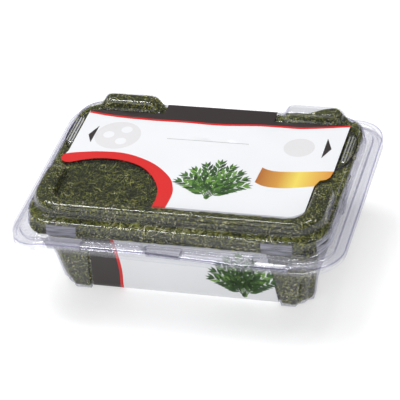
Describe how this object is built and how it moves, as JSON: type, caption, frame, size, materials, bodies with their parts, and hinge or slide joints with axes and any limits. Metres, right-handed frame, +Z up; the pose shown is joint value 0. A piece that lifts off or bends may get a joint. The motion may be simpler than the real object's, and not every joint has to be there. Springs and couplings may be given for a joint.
{
  "type": "hinged clamshell pack of dried dill",
  "caption": "Clear hinged clamshell pack filled with dried dill weed, with a seal label on its stepped lid and a label on its front.",
  "frame": {"origin": "centre of the whole pack's box, on the surface that it stands on", "axes": "+Z up, +Y from the snap edge to the living hinge, +X along the hinge to the right, seen from the snap edge"},
  "size_m": [0.1016, 0.0752, 0.0337],
  "materials": {
    "clear_plastic": "clear thermoformed PET sheet, glossy, with a slight lilac grey at its edges",
    "printed_label": "smooth white film label with printed black, red, gold and green, satin",
    "dill": "loose dried dill flakes, dark olive green, dry and matt"
  },
  "bodies": {
    "base_body": {"base_tray": "clear_plastic", "living_hinge": "clear_plastic", "front_label": "printed_label", "dill_fill": "dill"},
    "lid_body": {"lid": "clear_plastic", "flap_left": "clear_plastic", "flap_right": "clear_plastic", "top_label": "printed_label", "dill_in_ridge": "dill", "dill_in_left_lug": "dill", "dill_in_right_lug": "dill"}
  },
  "joints": [
    {"name": "lid_hinge", "type": "hinge", "parent": "base_body", "child": "lid_body", "pos_m": [0, 0.03695, 0.0245], "axis": [-1, 0, 0], "range_deg": [0, 180]}
  ]
}
